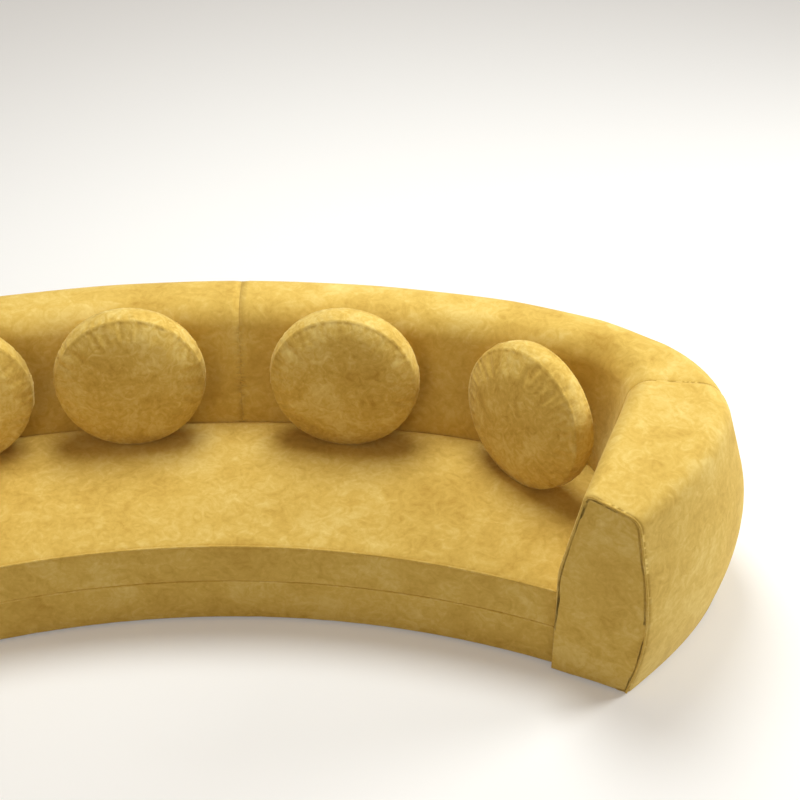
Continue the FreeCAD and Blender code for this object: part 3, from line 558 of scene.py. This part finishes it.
# flat arm front with its piping
armPanel = {"thickness": 0.003, "crown": 0.0045, "edgeBand": 0.030, "pipingRadius": 0.0042, "pipingSides": 12,
            "pipingStand": 0.0034, "rows": 110, "columns": 56, "stitchIn": 0.0125,
            "innerReach": 0.0006}
frontNormal = polar(1.0, 90.0 + 114.75)
acrossArm = polar(1.0, 114.75)


def frontSpace(point, ahead):
    # a point of the arm's flat front: distance across the arm, height, and distance in front of it
    return Vector((armFront.x + acrossArm.x * point.x + frontNormal.x * ahead,
                   arcCentreY + armFront.y + acrossArm.y * point.x + frontNormal.y * ahead, point.y))


def armOutline(count):
    corners, rounds = sectionCorners(armSection["width"], 1.0)
    corners[0] = Vector((0.0, heights["hem"]))
    corners = corners[:-1]
    line = roundedLine(corners, rounds[:-1])
    line.append(corners[-1])
    return line


def armFrontPanel(side):
    # a grid stretched between the four sides of the outline, crowned like a thin pad
    outline = evenLine(armOutline(200), 300)
    crestX = min(range(300), key=lambda k: (outline[k] - Vector((0.068, heights["armPeak"]))).length)
    outerX = min(range(300), key=lambda k: (outline[k] - Vector((0.262, heights["armOuter"]))).length)
    columns, rows = armPanel["columns"], armPanel["rows"]
    left = evenLine(outline[:crestX + 1], rows + 1)
    top = evenLine(outline[crestX:outerX + 1], columns + 1)
    right = list(reversed(evenLine(outline[outerX:], rows + 1)))
    bottom = evenLine([outline[0], outline[-1]], columns + 1)
    mesh = bmesh.new()
    grid = []
    inset = armPanel["pipingRadius"]
    for row in range(rows + 1):
        v = row / rows
        line = []
        for column in range(columns + 1):
            u = column / columns
            spot = left[row] * (1 - u) + right[row] * u + bottom[column] * (1 - v) + top[column] * v
            spot -= (left[0] * (1 - u) + right[0] * u) * (1 - v) + (left[-1] * (1 - u) + right[-1] * u) * v
            inward = min((spot - edge).length for edge in outline)
            inward = min(inward, spot.y - heights["hem"] + 0.004)
            rise = armPanel["crown"] * (1 - math.exp(-inward / armPanel["edgeBand"])) - 0.0012
            rise += 0.0014 * softWave(frontSpace(spot, 0.0), 0.09, 21.0 + side) * min(1.0, inward / 0.03)
            rise -= 0.0011 * math.exp(-((inward - armPanel["stitchIn"]) / 0.0022) ** 2) * (spot.x > 0.06)
            middle = Vector((0.15, min(max(spot.y, 0.05), 0.70)))
            welted = u > 0.3 or v > 0.97
            drawnIn = (inset if welted else -armPanel["innerReach"]) * math.exp(-inward / 0.01)
            drawn = spot.lerp(middle, drawnIn / max(0.02, (middle - spot).length))
            line.append(mesh.verts.new(frontSpace(drawn, rise)))
        grid.append(line)
    for low, high in zip(grid[:-1], grid[1:]):
        for k in range(columns):
            mesh.faces.new((low[k], low[k + 1], high[k + 1], high[k]))
    made = bmesh.ops.extrude_edge_only(mesh, edges=[edge for edge in mesh.edges if edge.is_boundary])
    wall = [part for part in made["geom"] if isinstance(part, bmesh.types.BMVert)]
    bmesh.ops.translate(mesh, verts=wall, vec=frontNormal.to_3d() * -armPanel["thickness"])
    bmesh.ops.holes_fill(mesh, edges=[edge for edge in mesh.edges if edge.is_boundary], sides=0)
    return mesh


def tubeAlong(points, normals, radius, ringSides, squash=1.0):
    # a round welt along close points; normals give the second axis of each ring
    loops = []
    for index, point in enumerate(points):
        before = points[max(0, index - 1)]
        after = points[min(len(points) - 1, index + 1)]
        direction = (after - before).normalized()
        up = (normals[index] - direction * normals[index].dot(direction)).normalized()
        across = direction.cross(up)
        loops.append([point + (up * math.cos(turn) * squash + across * math.sin(turn)) * radius
                      for turn in [2 * math.pi * k / ringSides for k in range(ringSides)]])
    mesh, rings = loftLoops(loops)
    for ring in (rings[0], rings[-1]):
        mesh.faces.new(ring)
    return mesh


def armPiping(side):
    line = armOutline(200)
    start = next(index for index, spot in enumerate(line) if spot.y > 0.70)
    line = evenLine(line[start:], 190)
    radius = armPanel["pipingRadius"]
    points = []
    for index, spot in enumerate(line):
        before, after = line[max(0, index - 1)], line[min(len(line) - 1, index + 1)]
        direction = (after - before).normalized()
        inward = Vector((direction.y, -direction.x))
        fade = min(1.0, index / 14)
        point = spot + inward * radius * 0.9
        points.append(frontSpace(point, armPanel["pipingStand"] - radius * 0.6 - (1.0 - fade) * radius * 1.1))
    normals = [Vector((frontNormal.x, frontNormal.y, 0.0))] * len(points)
    return tubeAlong(points, normals, radius, armPanel["pipingSides"])


for word, side in sides.items():
    finishPiece(armFrontPanel(side), "armFrontVelvet_" + word, bodyVelvet, "frame",
                ["arm_front_cover_" + word], mirror=side < 0)
    finishPiece(armPiping(side), "armWelt_" + word, pipingVelvet, "frame",
                ["arm_piping_" + word], mirror=side < 0)
print("arm fronts made")

# the crescent seat cushion: stations are straight lines in plan from the front arc to the wall behind
seatCushion = {
    "gap": 0.0006, "stations": 210, "frontDrop": 0.0085, "crown": 0.012, "frontBulge": 0.0016, "edgeRound": 0.007,
    "frontRound": 0.006, "proud": 0.0012, "wave": 0.0016, "waveSize": 0.22, "pipingRadius": 0.0042, "puckerDeep": 0.0009,
}
straightEnd = 17.0


def seatLine(share):
    # front and rear points in plan for share 0 (middle) to 1 (along the arm)
    rearArc = rearRadius * math.radians(plan["cornerAngle"])
    sweep = plan["cornerRadius"] * math.radians(plan["sweepEnd"] - plan["cornerAngle"])
    straight = rearRadius * math.radians(straightEnd)
    total = rearArc + sweep
    bound = straight / total
    if share <= bound:
        turn = straightEnd * share / bound
        return polar(plan["frontRadius"], turn), polar(rearRadius, turn)
    rest = (share - bound) / (1 - bound)
    run = straight + (total - straight) * rest
    if run < rearArc:
        rear = polar(rearRadius, math.degrees(run / rearRadius))
    else:
        turn = plan["cornerAngle"] + math.degrees((run - rearArc) / plan["cornerRadius"])
        rear = cornerCentre + polar(plan["cornerRadius"], turn)
    eased = rest ** 0.8
    front = polar(plan["frontRadius"], straightEnd + (plan["armFrontAngle"] - 0.05 - straightEnd) * eased)
    return front, rear


def seatSection(length):
    low, high = heights["seatLow"], heights["seatHigh"]
    gap = seatCushion["gap"]
    front = seatCushion["frontRound"]
    spots = []
    middle = (low + high) / 2
    # up the boxing
    for step in range(15):
        z = low + 0.0035 + (high - low - 0.007) * step / 14
        bow = 1 - ((z - middle) / (high - middle)) ** 2
        spots.append(Vector((0.0018 - seatCushion["frontBulge"] * bow, z)))
    # over the top, dipped at the piping and crowned behind it
    for step in range(60):
        t = (step + 1) / 61
        x = 0.004 + (length - gap - seatCushion["edgeRound"] - 0.004) * t
        rise = seatCushion["crown"] * (1 - (2 * t - 1) ** 2)
        drop = seatCushion["frontRound"] * 0.30 * math.exp(-x / 0.008)
        spots.append(Vector((x, high + rise - drop)))
    # down the rear and back along the underside
    for step in range(8):
        turn = math.pi / 2 * (step + 1) / 8
        r = seatCushion["edgeRound"]
        spots.append(Vector((length - gap - r + r * math.sin(turn), high - r + r * math.cos(turn))))
    for step in range(6):
        spots.append(Vector((length - gap, high - 0.016 - (high - low - 0.026) * (step + 1) / 6)))
    for step in range(12):
        spots.append(Vector((length - gap - 0.004 - (length - gap - 0.010) * step / 11, low)))
    return spots


def seatCushionMesh():
    loops = []
    count = seatCushion["stations"]
    for index in range(-count, count + 1):
        share = abs(index) / count
        share = 1 - (1 - share) ** 1.25
        sign = 1 if index >= 0 else -1
        front, rear = seatLine(min(1.0, share))
        length = (rear - front).length
        direction = (rear - front) / length
        endGap = seatCushion["gap"] + 0.0005
        side = Vector((direction.y, -direction.x))
        squeeze = max(0.0, share - 0.985) / 0.015
        loop = []
        for spot in seatSection(length):
            point = front + direction * spot.x - side * endGap * (1 if share > 0.6 else 0)
            z = spot.y
            place = Vector((sign * point.x, arcCentreY + point.y, z))
            if spot.y > heights["seatHigh"] - 0.012:
                far = min(1.0, spot.x / 0.05)
                z += seatCushion["proud"] * far
                z += seatCushion["wave"] * softWave(place, seatCushion["waveSize"], 31.0) * far * 1.6
                z -= 0.002 * squeeze ** 2
                edge = math.exp(-(spot.x / 0.035) ** 1.5)
                ripple = noise.noise(Vector((place.x * 22.0, 3.0, spot.x * 9.0)))
                z += max(-0.0004, seatCushion["puckerDeep"] * ripple * edge * 1.5)
            elif spot.x < 0.02 and spot.y > heights["seatLow"] + 0.01:
                rim = math.exp(-((heights["seatHigh"] - spot.y) / 0.03) ** 1.5)
                rim += math.exp(-((spot.y - heights["seatLow"]) / 0.03) ** 1.5)
                ripple = noise.noise(Vector((place.x * 24.0, 8.0, spot.y * 9.0)))
                shift = seatCushion["puckerDeep"] * ripple * rim + 0.0012 * softWave(place, 0.16, 17.0)
                shift = min(shift, 0.0006) - seatCushion["proud"]
                place.x += sign * direction.x * shift
                place.y += direction.y * shift
            place.z = z
            loop.append(place)
        loops.append(loop)
    mesh, rings = loftLoops(loops)
    for ring in (rings[0], rings[-1]):
        face = mesh.faces.new(ring)
        bmesh.ops.triangulate(mesh, faces=[face])
    return mesh


def seatPiping(height):
    points, normals = [], []
    limit = plan["armFrontAngle"] - 0.12
    count = 260
    radius = seatCushion["pipingRadius"]
    for index in range(count + 1):
        turn = -limit + 2 * limit * index / count
        spot = polar(plan["frontRadius"] + radius * 0.45, turn)
        wobble = 0.0004 * noise.noise(Vector((turn * 3.0, height * 10.0, 1.0)))
        points.append(Vector((spot.x, arcCentreY + spot.y, height + wobble)))
        normals.append(Vector((0, 0, 1)))
    return tubeAlong(points, normals, radius, 12)


finishPiece(seatCushionMesh(), "seatVelvet", seatVelvet, "seat_cushion", ["seat_cushion_cover"])
finishPiece(seatPiping(heights["seatHigh"] - 0.0030), "seatWeltTop", pipingVelvet, "seat_cushion",
            ["seat_piping_top"])
finishPiece(seatPiping(heights["seatLow"] + 0.0036), "seatWeltBottom", pipingVelvet, "seat_cushion",
            ["seat_piping_bottom"])
print("seat cushion made")

# base front under the cushion: a curved apron with a stitched hem
baseApron = {"recess": 0.006, "thickness": 0.003, "rows": 34, "columns": 240, "hemLine": 0.026, "hemDeep": 0.0024}


def baseFrontMesh():
    loops = []
    radius = plan["frontRadius"] + baseApron["recess"]
    low, high = heights["hem"], heights["seatLow"] - 0.0006
    limit = plan["armFrontAngle"] - 0.04
    for index in range(baseApron["columns"] + 1):
        turn = -limit + 2 * limit * index / baseApron["columns"]
        loop = []
        rows = baseApron["rows"]
        for row in range(rows + 1):
            z = low + (high - low) * row / rows
            inward = 0.0008 * noise.noise(Vector((turn * 0.9, z * 9.0, 4.0)))
            inward += baseApron["hemDeep"] * math.exp(-((z - baseApron["hemLine"]) / 0.0035) ** 2)
            inward += 0.004 * math.exp(-((z - low) / 0.005)) + 0.0005
            spot = polar(radius + inward, turn)
            loop.append(Vector((spot.x, arcCentreY + spot.y, z)))
        for z in (high, low):
            spot = polar(radius + 0.0075, turn)
            loop.append(Vector((spot.x, arcCentreY + spot.y, z)))
        loops.append(loop)
    mesh, rings = loftLoops(loops)
    for ring in (rings[0], rings[-1]):
        mesh.faces.new(ring)
    return mesh


finishPiece(baseFrontMesh(), "baseApron", bodyVelvet, "frame", ["base_front_cover"])
print("base made")

# round scatter cushions: two crowned faces and a gusset, sewn with a doubled line
scatter = {
    "radius": 0.250, "seamRadius": 0.247, "gussetHalf": 0.040, "crown": 0.045, "lean": 5.0,
    "spokes": 200, "faceRings": 34, "gussetRings": 12, "pressure": 3.0, "cap": 0.014, "frames": 20,
}
scatterPlaces = {
    1: {"distance": 3.3220, "angle": -16.3, "turn": 16.3, "height": 0.5907},
    2: {"distance": 3.3220, "angle": -6.3, "turn": 6.3, "height": 0.5907},
    3: {"distance": 3.3220, "angle": 6.3, "turn": -6.3, "height": 0.5907},
    4: {"distance": 3.2450, "angle": 17.6, "turn": -48.0, "height": 0.5942},
}


def scatterProfile():
    # half of the section, from the middle of the face out over the seam and the gusset
    spots = []
    rings = scatter["faceRings"]
    for step in range(rings):
        share = 0.02 + 0.98 * step / (rings - 1)
        spots.append((share * scatter["seamRadius"],
                      scatter["gussetHalf"] + 0.90 * scatter["crown"] * (1 - share ** 2.2)))
    for step in range(1, scatter["gussetRings"]):
        z = scatter["gussetHalf"] * (1 - 2 * step / scatter["gussetRings"])
        bow = 1 - (z / scatter["gussetHalf"]) ** 2
        spots.append((scatter["seamRadius"] + 0.002 * bow, z))
    spots += [(r, -z) for r, z in reversed(spots[:rings])]
    return spots


def scatterMesh(number):
    profile = scatterProfile()
    mesh = bmesh.new()
    verts = [mesh.verts.new((r, 0.0, z)) for r, z in profile]
    edges = [mesh.edges.new(pair) for pair in zip(verts[:-1], verts[1:])]
    bmesh.ops.spin(mesh, geom=verts + edges, cent=(0, 0, 0), axis=(0, 0, 1), angle=math.tau,
                   steps=scatter["spokes"], use_merge=True)
    bmesh.ops.remove_doubles(mesh, verts=mesh.verts, dist=1e-5)
    bmesh.ops.holes_fill(mesh, edges=[edge for edge in mesh.edges if edge.is_boundary], sides=0)
    for vert in mesh.verts:
        jitter = noise.noise_vector(vert.co * 55.0 + Vector((number * 7.0, 0, 0)))
        vert.co += jitter * 0.0007
    bmesh.ops.recalc_face_normals(mesh, faces=mesh.faces)
    return mesh


def inflate(mesh, number):
    # cloth with inner pressure; the seams are held, so the faces swell and gather between them
    data = bpy.data.meshes.new("scatterStart")
    mesh.to_mesh(data)
    mesh.free()
    piece = bpy.data.objects.new("scatterStart", data)
    scene.collection.objects.link(piece)
    start = [vert.co.copy() for vert in data.vertices]
    group = piece.vertex_groups.new(name="seams")
    for index, spot in enumerate(start):
        reach = math.hypot(spot.x, spot.y)
        if abs(abs(spot.z) - scatter["gussetHalf"]) < 0.0016 and reach > 0.240:
            group.add([index], 1.0, "REPLACE")
    cloth = piece.modifiers.new("inflate", "CLOTH")
    settings = cloth.settings
    settings.quality = 6
    settings.mass = 0.25
    settings.tension_stiffness = 18.0
    settings.compression_stiffness = 12.0
    settings.shear_stiffness = 6.0
    settings.bending_stiffness = 0.25
    settings.use_pressure = True
    settings.uniform_pressure_force = scatter["pressure"]
    settings.shrink_min = -0.035
    settings.vertex_group_mass = "seams"
    settings.effector_weights.gravity = 0.0
    cloth.point_cache.frame_start = 1
    cloth.point_cache.frame_end = scatter["frames"]
    for frameNumber in range(1, scatter["frames"] + 1):
        scene.frame_set(frameNumber)
    graph = bpy.context.evaluated_depsgraph_get()
    swollen = bpy.data.meshes.new_from_object(piece.evaluated_get(graph))
    result = bmesh.new()
    result.from_mesh(swollen)
    result.verts.ensure_lookup_table()
    for vert, before in zip(result.verts, start):
        move = vert.co - before
        if move.length > scatter["cap"]:
            move *= scatter["cap"] / move.length
        vert.co = before + move
    bpy.data.objects.remove(piece)
    scene.frame_set(1)
    return result


def drawSeams(mesh, number):
    # a ridge on each seam, a stitched line to either side of it and gathers that run away from it
    for vert in mesh.verts:
        x, y, z = vert.co
        reach = math.hypot(x, y)
        if reach < 0.05:
            continue
        turn = math.atan2(y, x)
        outward = Vector((x / reach, y / reach, 0.0))
        onFace = max(0.0, scatter["seamRadius"] - reach) if abs(z) > scatter["gussetHalf"] - 0.002 else 0.0
        onSide = max(0.0, scatter["gussetHalf"] - abs(z))
        away = max(onFace, onSide)
        up = Vector((0, 0, 1 if z > 0 else -1))
        normal = (outward + up).normalized() if away < 0.003 else (up if onFace > onSide else outward)
        ridge = 0.0016 * math.exp(-(away / 0.0028) ** 2)
        groove = -0.0014 * math.exp(-((away - 0.0075) / 0.0028) ** 2)
        wave = noise.noise(Vector((math.cos(turn) * 11.0, math.sin(turn) * 11.0, number * 5.0 + up.z)))
        wave += 0.6 * noise.noise(Vector((math.cos(turn) * 26.0, math.sin(turn) * 26.0, number * 3.0 + up.z)))
        fade = math.exp(-((away - 0.012) / 0.040) ** 2) * min(1.0, away / 0.006)
        vert.co += normal * (ridge + groove + 0.0030 * wave * fade)


def placeScatter(mesh, spot):
    lean = Matrix.Rotation(math.radians(90 - scatter["lean"]), 4, "X")
    turn = Matrix.Rotation(math.radians(spot["turn"]), 4, "Z")
    at = polar(spot["distance"], spot["angle"])
    move = Matrix.Translation((at.x, arcCentreY + at.y, spot["height"]))
    bmesh.ops.transform(mesh, matrix=move @ turn @ lean, verts=mesh.verts)


for number, spot in scatterPlaces.items():
    mesh = scatterMesh(number)
    mesh = inflate(mesh, number)
    drawSeams(mesh, number)
    bmesh.ops.rotate(mesh, cent=(0, 0, 0), matrix=Matrix.Rotation(number * 0.9, 3, "Z"), verts=mesh.verts)
    placeScatter(mesh, spot)
    finishPiece(mesh, "scatterVelvet_%d" % number, cushionVelvet, "scatter_cushion_%d" % number,
                ["scatter_cover_%d" % number])
print("scatter cushions made")

# floor and light
studio = {"floorSize": 40.0, "floorColour": (0.77, 0.78, 0.80), "world": 0.26, "glow": 0.15,
          "ambient": (1.0, 0.80, 0.60), "backdrop": (1.0, 0.985, 0.965)}


def makeFloor():
    mesh = bmesh.new()
    bmesh.ops.create_grid(mesh, x_segments=1, y_segments=1, size=studio["floorSize"] / 2)
    data = bpy.data.meshes.new("studioFloor")
    mesh.to_mesh(data)
    mesh.free()
    floor = bpy.data.objects.new("studioFloor", data)
    scene.collection.objects.link(floor)
    material = bpy.data.materials.new("paleFloor")
    material.use_nodes = True
    tree = material.node_tree
    shader = tree.nodes["Principled BSDF"]
    cloud = addNode(tree, "ShaderNodeTexNoise", (-600, 0), Scale=0.4, Detail=2.0)
    coordinate = addNode(tree, "ShaderNodeTexCoord", (-800, 0))
    join(tree, coordinate, "Object", cloud, "Vector")
    tint = addNode(tree, "ShaderNodeMix", (-300, 0), data_type="RGBA")
    tint.inputs[6].default_value = (*studio["floorColour"], 1)
    tint.inputs[7].default_value = (0.78, 0.79, 0.81, 1)
    join(tree, cloud, "Fac", tint, 0)
    join(tree, tint, 2, shader, "Base Color")
    shader.inputs["Roughness"].default_value = 0.7
    shader.inputs["Specular IOR Level"].default_value = 0.2
    path = addNode(tree, "ShaderNodeLightPath", (-300, -300))
    glow = addNode(tree, "ShaderNodeMath", (-100, -300), operation="MULTIPLY")
    glow.inputs[1].default_value = studio["glow"]
    join(tree, path, "Is Camera Ray", glow, 0)
    shader.inputs["Emission Color"].default_value = (1, 1, 1, 1)
    join(tree, glow, 0, shader, "Emission Strength")
    data.materials.append(material)


def makeWorld():
    world = bpy.data.worlds.new("studioWorld")
    scene.world = world
    world.use_nodes = True
    tree = world.node_tree
    background = tree.nodes["Background"]
    colour = addNode(tree, "ShaderNodeMix", (-150, 250), data_type="RGBA")
    colour.inputs[6].default_value = (*studio["ambient"], 1)
    colour.inputs[7].default_value = (*studio["backdrop"], 1)
    join(tree, colour, 2, background, "Color")
    path = addNode(tree, "ShaderNodeLightPath", (-600, 0))
    rays = addNode(tree, "ShaderNodeMath", (-400, 0), operation="MAXIMUM")
    join(tree, path, "Is Camera Ray", rays, 0)
    join(tree, path, "Is Glossy Ray", rays, 1)
    both = addNode(tree, "ShaderNodeMath", (-300, 0), operation="MAXIMUM")
    join(tree, rays, 0, both, 0)
    join(tree, path, "Is Transmission Ray", both, 1)
    strength = addNode(tree, "ShaderNodeMapRange", (-150, 0))
    strength.inputs["To Min"].default_value = studio["world"]
    strength.inputs["To Max"].default_value = 1.0
    join(tree, both, 0, strength, "Value")
    join(tree, both, 0, colour, 0)
    join(tree, strength, 0, background, "Strength")


lamps = {
    "overhead": {"place": (0.3, 1.5, 4.8), "aim": (0.2, -0.1, 0.3), "size": 2.6, "power": 196.0,
                 "colour": (0.98, 1.0, 0.96)},
    "rearRight": {"place": (5.2, 0.9, 2.4), "aim": (0.9, -0.2, 0.4), "size": 2.0, "power": 168.0,
                  "colour": (0.99, 1.0, 0.96)},
    "frontLeft": {"place": (-2.4, -5.5, 3.6), "aim": (0.2, -0.2, 0.3), "size": 2.6, "power": 62.0,
                  "colour": (1.0, 0.88, 0.72)},
}


def makeLamp(name, lamp):
    data = bpy.data.lights.new(name, "AREA")
    data.shape = "DISK"
    data.size = lamp["size"]
    data.energy = lamp["power"]
    data.color = lamp["colour"]
    light = bpy.data.objects.new(name, data)
    place, aim = Vector(lamp["place"]), Vector(lamp["aim"])
    light.location = place
    light.rotation_euler = (aim - place).to_track_quat("-Z", "Y").to_euler()
    scene.collection.objects.link(light)


makeFloor()
makeWorld()
for name, lamp in lamps.items():
    makeLamp(name, lamp)
scene.view_settings.view_transform = "Standard"
print("studio lit")
